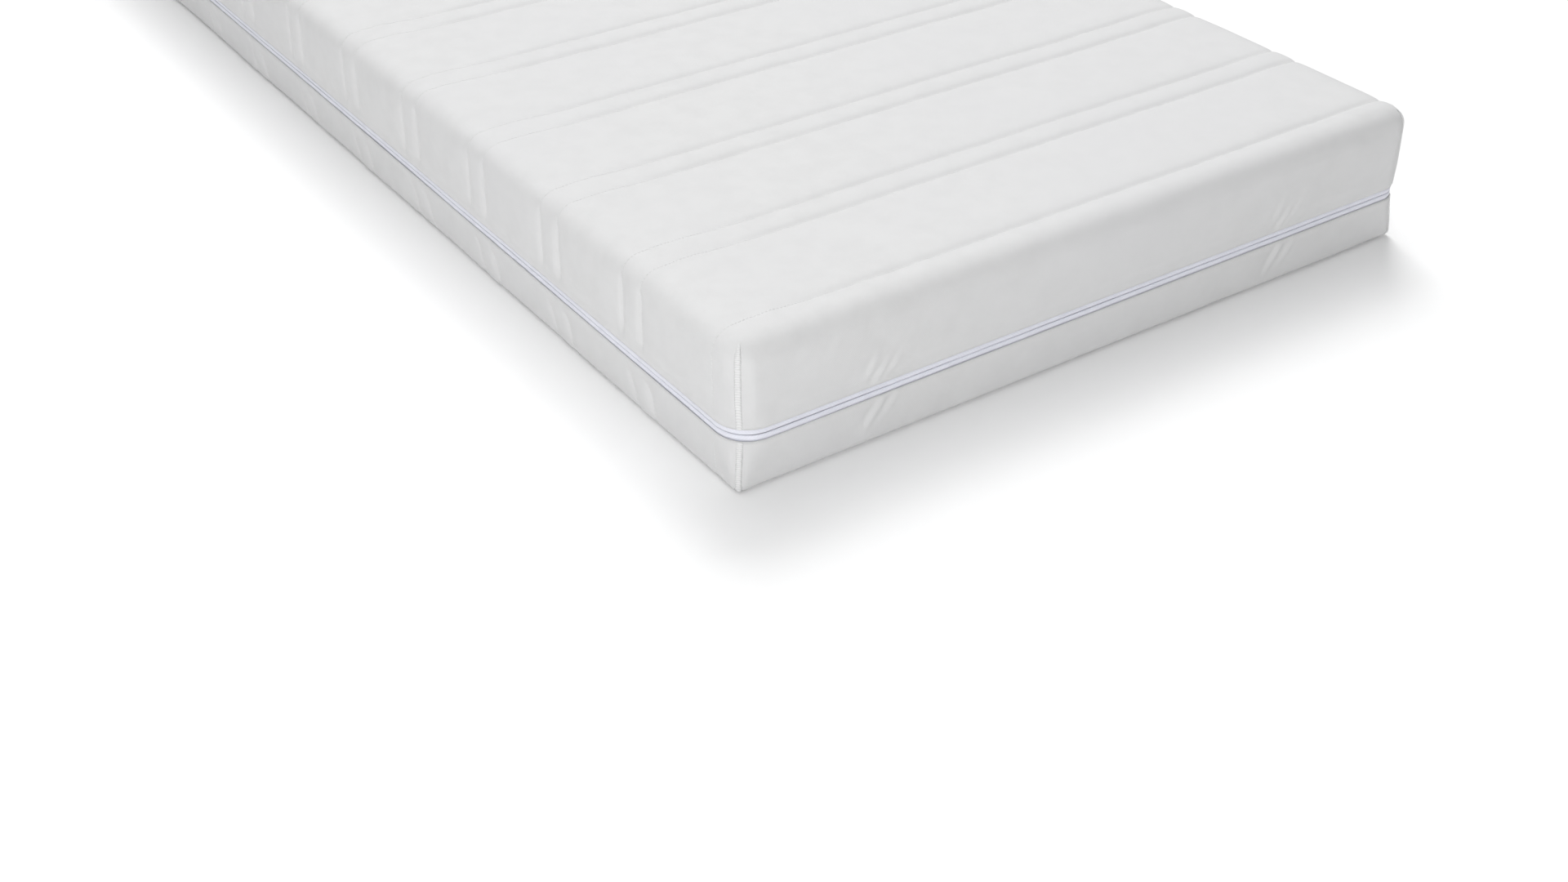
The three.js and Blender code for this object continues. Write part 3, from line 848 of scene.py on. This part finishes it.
STITCH, STITCH_PITCH, THREAD = 3.4 * MM, 4.2 * MM, 0.28 * MM


def thread_material(name, light, dark):
    """Twisted polyester thread: slightly glossy, its twist drawn every 2.7 mm so that it shows."""
    material, tree = new_material(name)
    place = add_node(tree, "TexCoord").outputs["Object"]
    # A diagonal wave turns 10 times its scale in radians over each unit along an axis.
    twist = add_node(
        tree, "TexWave", {"bands_direction": "DIAGONAL"},
        {"Scale": 2 * np.pi / 10 * per_metre(2.73), "Distortion": 0.4}, {"Vector": place},
    ).outputs["Fac"]
    add_surface(
        tree, twist, [(0.2, dark), (0.8, light)], twist, (0.5, 0.1), {"Roughness": 0.55, "Sheen Weight": 0.2}
    )
    return material


def square_up(ahead, up):
    """Unit directions ahead, up and across: up loses what it has along ahead, across is square to both."""
    ahead = ahead / np.maximum(np.linalg.norm(ahead, axis=1, keepdims=True), 1e-12)
    up = up - ahead * (ahead * up).sum(1, keepdims=True)
    up = up / np.maximum(np.linalg.norm(up, axis=1, keepdims=True), 1e-12)
    return ahead, up, np.cross(up, ahead)


def lay_stitches(name, lines):
    """Short spindles laid end to end along lines of points, each given with its outward normals.

    One spindle is four rings of four points, thin at the ends. Every stitch takes the same spindle,
    turned to its line's direction and normal, and its ends sink by one thread.
    """
    reach = np.array([-0.5, -0.3, 0.3, 0.5]) * STITCH
    girth = np.array([0.35, 1.0, 1.0, 0.35]) * THREAD
    sink = np.array([-1.0, 0.35, 0.35, -1.0]) * THREAD
    turn = np.arange(4) * np.pi / 2 + np.pi / 4
    centres, tangents, ups = [], [], []
    for points, normals in lines:
        run = np.r_[0, np.cumsum(np.linalg.norm(np.diff(points, axis=0), axis=1))]
        at = np.arange(STITCH_PITCH, run[-1] - STITCH_PITCH, STITCH_PITCH)
        place = np.stack([np.interp(at, run, column) for column in points.T], -1)
        front = np.stack([np.interp(at + 1 * MM, run, column) for column in points.T], -1)
        centres.append(place)
        tangents.append(front - place)
        ups.append(np.stack([np.interp(at, run, column) for column in normals.T], -1))
    place = np.vstack(centres)
    ahead, up, across = square_up(np.vstack(tangents), np.vstack(ups))
    points = (
        place[:, None, None]
        + ahead[:, None, None] * reach[None, :, None, None]
        + up[:, None, None] * (sink[:, None] + girth[:, None] * np.sin(turn))[None, :, :, None]
        + across[:, None, None] * (girth[:, None] * np.cos(turn))[None, :, :, None]
    )
    side = grid_quads(4, 4, round_columns=True)
    one = np.vstack([side, [[3, 2, 1, 0]], [[12, 13, 14, 15]]])
    quads = (one[None] + 16 * np.arange(len(place))[:, None, None]).reshape(-1, 4)
    return make_piece(name, points, quads[:, ::-1], thread)


def seam_lines(grid, side):
    """The lines along the bottom of every seam of a cover half, with normals from its form."""
    u, v, surface = grid
    lines = []
    for seam in SEAMS[np.abs(SEAMS) <= FLAT_Y]:
        row = np.abs(v[:, 0] - seam).argmin()
        _, normals = cover_form(u[row], v[row], side)
        lines.append((surface[row][3:-3], normals[3:-3]))
    return lines


thread = thread_material("white sewing thread", "#e6e6e6", "#dadada")
for half, side, body in HALVES:
    stitches = lay_stitches(half + "_quilting_stitches", seam_lines(knit_grids[half], side))
    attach(stitches, body)

# ---- Corner seams ----
# Each corner of the cover is one overlocked seam, turned so that a narrow welt of cloth and thread
# stands along it, from the zip up over the shoulder (or down under the edge).


def corner_welt(name, side, sx, sy):
    """A welt swept along the corner's diagonal: a small ring of nine points, carried along the form.

    Its radius swells slightly with every overlock loop, 2.4 mm apart, and tapers to the last of them.
    """
    start = skirt_length(side, 0.0, ZIP_LEVEL + side * KNIT_EDGE) - 0.6 * MM
    t = np.linspace(start, 13 * MM if side > 0 else 9 * MM, int(start / (0.6 * MM)))
    line, normals = cover_form(sx * (FLAT_X + t), sy * (FLAT_Y + t), side)
    _, up, across = square_up(np.gradient(line, axis=0), normals)
    run = start - t
    taper = np.clip((run[-1] - run) / (16 * MM), 0, 1) ** 0.6
    loops = 1 + 0.10 * np.sin(2 * np.pi * run / (2.4 * MM))
    radius = 1.2 * MM * loops * np.maximum(taper, 0.12)
    turn = np.arange(9) * 2 * np.pi / 9
    sway = 0.18 * MM * np.sin(2 * np.pi * run / (4.8 * MM))
    points = (
        (line + up * 0.1 * MM + across * sway[:, None])[:, None]
        + up[:, None] * (radius[:, None] * np.sin(turn))[..., None]
        + across[:, None] * (radius[:, None] * 2.6 * np.cos(turn))[..., None]
    )
    ends = np.stack([np.repeat(line[:1] + up[:1] * 0.1 * MM, 9, 0), np.repeat(line[-1:], 9, 0)])
    points = np.concatenate([ends[:1], points, ends[1:]])
    return make_piece(name, points, grid_quads(len(points), 9, round_columns=True), thread)


for half, side, body in HALVES:
    for end, sy in (("foot", -1), ("head", 1)):
        for hand, sx in (("left", -1), ("right", 1)):
            place = f"{end}_{hand}"
            welt = corner_welt(f"{half}_welt_{place}", side, sx, sy)
            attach(welt, body)
            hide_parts(f"{half}_corner_seam_{place}")

# ---- Zip tapes ----
# A woven polyester zip tape, pale lilac-blue, hemmed to the edge of each cover half. The zip is sewn in
# face down, so the tape folds over its coil and shows as a smooth plump ridge on each side of the gap.

STRAIGHT_X, STRAIGHT_Y = HALF_X - ZIP_CORNER, HALF_Y - ZIP_CORNER
QUARTER = ZIP_CORNER * np.pi / 2
BORDER_PARTS = [
    STRAIGHT_Y, QUARTER, 2 * STRAIGHT_X, QUARTER, 2 * STRAIGHT_Y, QUARTER, 2 * STRAIGHT_X, QUARTER, STRAIGHT_Y
]
GIRTH = 4 * STRAIGHT_X + 4 * STRAIGHT_Y + 4 * QUARTER


def along_border(distance, depth, level):
    """Points round the border at the zip, for a distance from the middle of the side at +X.

    The way round is straight, then a quarter turn about the corner's centre, four times. Going deeper
    moves the straights inwards and makes the turns' radius smaller.
    """
    ends = np.r_[0, np.cumsum(BORDER_PARTS)]
    s = np.mod(distance, GIRTH)
    part = np.clip(np.searchsorted(ends, s, side="right") - 1, 0, 8)
    into = s - ends[part]
    heading = np.array([0, 0, 1, 1, 2, 2, 3, 3, 4])[part] * np.pi / 2
    turning = np.isin(part, [1, 3, 5, 7])
    normal = heading + np.where(turning, into / ZIP_CORNER, 0)
    centre_x = np.array([1, 1, 1, -1, -1, -1, -1, 1, 1])[part] * STRAIGHT_X
    centre_y = np.array([0, 1, 1, 1, 1, -1, -1, -1, -1])[part] * STRAIGHT_Y
    step = np.where(turning, 0, into)
    centre_x = centre_x - step * np.sin(heading)
    centre_y = centre_y + step * np.cos(heading)
    x = centre_x + (ZIP_CORNER - depth) * np.cos(normal)
    y = centre_y + (ZIP_CORNER - depth) * np.sin(normal)
    points = np.stack([x, y, np.broadcast_to(level, x.shape)], -1)
    return turn_corner(points, ZIP_CORNER, radius_at_zip(points), depth)


def border_stations(step, turns):
    """Distances round the border: even steps on the straights and finer ones round the corners."""
    marks, at = [], 0.0
    for number, length in enumerate(BORDER_PARTS):
        count = turns if number % 2 else int(length / step) + 1
        marks.append(at + np.linspace(0, length, count)[:-1])
        at += length
    return np.concatenate(marks)


def tape_material(name, light, dark):
    """Woven tape: a satiny polyester with a slanting weave, drawn 2.5 mm apart so that it shows."""
    material, tree = new_material(name)
    cloth = add_node(tree, "UVMap", {"uv_map": "cloth"}).outputs["UV"]
    # A diagonal wave turns 10 times its scale in radians over each unit along an axis.
    weave = add_node(
        tree, "TexWave", {"bands_direction": "DIAGONAL"},
        {"Scale": 2 * np.pi / (10 * np.sqrt(2)) * per_metre(2.47), "Distortion": 0.6}, {"Vector": cloth},
    ).outputs["Fac"]
    soft = add_node(
        tree, "TexNoise", values={"Scale": per_metre(16.7), "Detail": 3.0}, links={"Vector": cloth}
    )
    tone = add_node(
        tree, "Math", {"operation": "MULTIPLY_ADD"}, {1: 0.3}, {0: weave, 2: soft.outputs["Fac"]}
    )
    add_surface(
        tree, tone.outputs["Value"], [(0.35, dark), (0.85, light)], weave, (0.4, 0.15),
        {"Roughness": 0.6, "Sheen Weight": 0.2},
    )
    return material


# Height from the zip's middle and depth below the border's face, in mm, round the tape's own section.
TAPE_SECTION = np.array([
    [0.3, 2.1], [0.4, 1.3], [0.9, 0.75], [1.8, 0.4], [3.0, 0.3], [4.2, 0.4], [5.2, 0.75], [5.9, 1.2],
    [6.5, 1.5], [7.2, 1.5], [9.0, 1.6], [12.0, 1.7], [15.2, 1.7], [15.2, 2.3], [9.0, 2.3], [6.4, 2.3],
    [5.2, 2.35], [3.0, 2.4], [1.3, 2.55],
]) * MM


def make_tape(name, side):
    """The tape's section carried all round the border, with a slow ripple in how far it stands out."""
    way = border_stations(9 * MM, 15)
    height, inward = TAPE_SECTION.T
    ripple = ripples(51 + side, (6, 0.34, 0.22 * MM), (5, 0.09, 0.1 * MM))(way, 0 * way)
    depth = inward + ripple[:, None]
    points = along_border(np.broadcast_to(way[:, None], depth.shape), depth, ZIP_LEVEL + side * height)
    quads = grid_quads(*depth.shape, round_rows=True, round_columns=True)
    girth = np.r_[0, np.cumsum(np.hypot(*np.diff(TAPE_SECTION, axis=0).T))]
    uv = np.stack(np.broadcast_arrays(way[:, None], girth[None]), -1)
    return make_piece(name, points, quads[:, ::side], tape_cloth, uv)


tape_cloth = tape_material("woven zip tape", "#eaebf4", "#e3e4ee")
for half, side, body in HALVES:
    tape = make_tape(half + "_tape", side)
    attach(tape, body)
    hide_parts(half + "_zip_tape")

# ---- Zip coils, pin, box and stops ----
# Behind each tape runs a coil of nylon filament, the zip's teeth. The pin and the box start the two
# chains on the long side at +X, and two stops end them, so that the cover comes off in two halves.

# Along the side at +X, 0.3 mm clear of the pin and of the stops.
CHAIN_START = box("zip_insertion_pin")[1][1] + 0.3 * MM
CHAIN_END = box("upper_zip_stop")[0][1] - 0.3 * MM
COIL_PITCH, FILAMENT = 2.4 * MM, 0.34 * MM  # from turn to turn, and the filament's radius


def plastic_material(name, light, dark, roughness):
    """Smooth moulded or painted surface with faint clouding and a fine skin of moulding texture."""
    material, tree = new_material(name)
    place = add_node(tree, "TexCoord").outputs["Object"]
    cloud = add_node(
        tree, "TexNoise", values={"Scale": per_metre(3.33), "Detail": 3.0}, links={"Vector": place}
    ).outputs["Fac"]
    add_surface(tree, cloud, [(0.3, dark), (0.7, light)], cloud, (0.15, 0.05), {"Roughness": roughness})
    return material


def make_coil(name, side):
    """A filament wound round the border: a ring of four points carried along a flattened spiral.

    The spiral's angle grows by a full turn every COIL_PITCH round the border. Its sine gives the
    height, reaching towards the zip's middle, and its cosine the depth.
    """
    length = GIRTH + CHAIN_END - CHAIN_START
    per_turn = 8
    n = int(length / COIL_PITCH) * per_turn
    turn = (np.arange(n) * 2 * np.pi / per_turn)[:, None]
    ring = np.arange(4) * np.pi / 2
    way = (CHAIN_START + length * np.arange(n) / n)[:, None] + FILAMENT * np.sin(ring)
    depth = (3.85 + 0.85 * np.cos(turn)) * MM + FILAMENT * np.cos(turn) * np.cos(ring)
    level = side * ((2.4 + 0.95 * np.sin(turn)) * MM + FILAMENT * np.sin(turn) * np.cos(ring))
    points = along_border(way, depth, 0)
    points[..., 2] = ZIP_LEVEL + level
    caps = np.array([[3, 2, 1, 0], [4 * n - 4, 4 * n - 3, 4 * n - 2, 4 * n - 1]])
    quads = np.vstack([grid_quads(n, 4, round_columns=True), caps])
    return make_piece(name, points, quads[:, ::side], nylon)


def rounded_copy(node, name, width, material):
    """A welded copy of a CAD piece with its edges rounded off by a small bevel."""
    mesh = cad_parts[node].data.copy()
    mesh.name = name
    mesh.materials.clear()
    mesh.materials.append(material)
    work = bmesh.new()
    work.from_mesh(mesh)
    bmesh.ops.remove_doubles(work, verts=work.verts, dist=1e-6)
    bmesh.ops.dissolve_limit(work, angle_limit=0.02, verts=work.verts, edges=work.edges)
    work.to_mesh(mesh)
    work.free()
    made = bpy.data.objects.new(name, mesh)
    bpy.context.scene.collection.objects.link(made)
    modifier(made, "BEVEL", width=width, segments=3, limit_method="ANGLE", angle_limit=0.5)
    return made


nylon = plastic_material("nylon filament", "#eceef8", "#dfe2f0", 0.3)
enamel = plastic_material("painted zinc", "#eceef4", "#e2e4ec", 0.32)
for half, side, body in HALVES:
    coil = make_coil(half + "_coil", side)
    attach(coil, body)
    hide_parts(half + "_zip_coil")
for node, name, body in (
    ("upper_zip_stop", "upper_stop", "cover_top"),
    ("lower_zip_stop", "lower_stop", "cover_base"),
    ("zip_insertion_pin", "insertion_pin", "cover_top"),
    ("zip_retainer_box", "retainer_box", "cover_base"),
):
    block = rounded_copy(node, name, 0.35 * MM, enamel)
    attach(block, body)
    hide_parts(node)

# ---- Slider and its pull ----
# A painted die-cast slider, parked at the stops near the head end of the side at +X. Its pull hangs
# from a small bridge and lies flat along the zip.

for node, name, body, width in (
    ("zip_slider", "slider", "slider", 0.25 * MM), ("zip_pull", "slider_pull", "pull", 0.3 * MM),
):
    casting = rounded_copy(node, name, width, enamel)
    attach(casting, body)
    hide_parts(node)

# ---- Care label ----
# A plain satin ribbon sewn in under the zip on the head end. It is left blank.

LABEL_WIDTH, LABEL_DROP = 45 * MM, 31 * MM


def make_label():
    """A hanging strip: a grid across and down, bowed outwards by a half sine and curled at its foot."""
    a, d = np.meshgrid(np.linspace(-0.5, 0.5, 25), np.linspace(0, 1, 21))
    x = HALF_X - 160 * MM + a * LABEL_WIDTH
    z = ZIP_LEVEL - KNIT_EDGE + 1 * MM - d * LABEL_DROP
    bow = 1.2 * MM * np.sin(np.pi * d) + 1.6 * MM * d**3 + 0.5 * MM * np.cos(2.2 * np.pi * a) * d
    y = HALF_Y + 1.5 * MM + bow
    uv = np.stack([a * LABEL_WIDTH, d * LABEL_DROP], -1)
    return make_piece("satin_label", np.stack([x, y, z], -1), grid_quads(*a.shape), satin, uv)


satin = tape_material("satin ribbon", "#eeeeee", "#e4e4e4")
label = make_label()
modifier(label, "SOLIDIFY", thickness=0.25 * MM, offset=1)
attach(label, "cover_base")
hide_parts("care_label")

# ---- Floor, light and camera ----
# A white floor under a faint even sky, three large lamps overhead and behind, and a low card that
# throws light back on the near corner.

VIEW_TARGET, VIEW_DISTANCE = np.array([-0.42766, -1.04478, 0.08]), 1.77704
VIEW_AZIMUTH, VIEW_ELEVATION = np.radians([-34.52, 34.51])
FLOOR_REACH, FLOOR_LEVEL = 12, -0.5 * MM
SKY_STRENGTH = 0.21


def stand(name, data, place, direction):
    """Puts a camera or a lamp at a place, upright and looking along a direction."""
    made = bpy.data.objects.new(name, data)
    bpy.context.scene.collection.objects.link(made)
    made.location = place
    made.rotation_mode = "QUATERNION"
    made.rotation_quaternion = Vector(direction).to_track_quat("-Z", "Y")
    return made


def soft_lamp(name, place, target, size, power):
    """A square area lamp that faces the target."""
    lamp = bpy.data.lights.new(name, "AREA")
    lamp.size, lamp.energy = size, power
    stand(name, lamp, place, Vector(target) - Vector(place))


def pale_material(name, light, dark):
    """Matt painted board: almost white, with a faint haze of tone about 1.7 m across."""
    material, tree = new_material(name)
    place = add_node(tree, "TexCoord").outputs["Object"]
    haze = add_node(
        tree, "TexNoise", values={"Scale": per_metre(1667), "Detail": 2.0}, links={"Vector": place}
    )
    ramp = add_node(
        tree, "ValToRGB", {"stops": [(0.3, dark), (0.7, light)]}, links={"Fac": haze.outputs["Fac"]}
    )
    add_shader(tree, {"Roughness": 0.9, "Specular IOR Level": 0.1}, {"Base Color": ramp.outputs["Color"]})
    return material


camera = bpy.data.cameras.new("view")
camera.lens, camera.sensor_width, camera.clip_end = 45.15675, 36, 60
level = np.cos(VIEW_ELEVATION)
back = np.array([np.sin(VIEW_AZIMUTH) * level, -np.cos(VIEW_AZIMUTH) * level, np.sin(VIEW_ELEVATION)])
view = stand("view", camera, VIEW_TARGET + back * VIEW_DISTANCE, (-back).tolist())
bpy.context.scene.camera = view

corners = np.array([[-1, -1], [1, -1], [1, 1], [-1, 1]]) * FLOOR_REACH
floor_points = np.c_[corners, np.full(4, FLOOR_LEVEL)]
floor = make_piece(
    "floor", floor_points, [[0, 1, 2, 3]], pale_material("pale floor", "#ffffff", "#fdfdfd"), smooth=False
)

world = bpy.data.worlds.new("sky")
world.use_nodes = True
sky = world.node_tree.nodes["Background"]
sky.inputs["Color"].default_value = linear("#fdfeff")
sky.inputs["Strength"].default_value = SKY_STRENGTH
bpy.context.scene.world = world

soft_lamp("softbox", (0.6, 3.2, 7.6), (0, -0.4, 0), 6.0, 144)
soft_lamp("overhead", (-1.5, -0.5, 6.0), (-0.2, -0.5, 0), 5.0, 102)
soft_lamp("back_lamp", (3.0, 4.0, 6.0), (0, -0.4, 0), 4.0, 364)
soft_lamp("fill_card", (-2.6, -3.4, 1.5), (-0.3, -0.9, 0.05), 1.8, 62)
bpy.context.scene.view_settings.view_transform = "Standard"
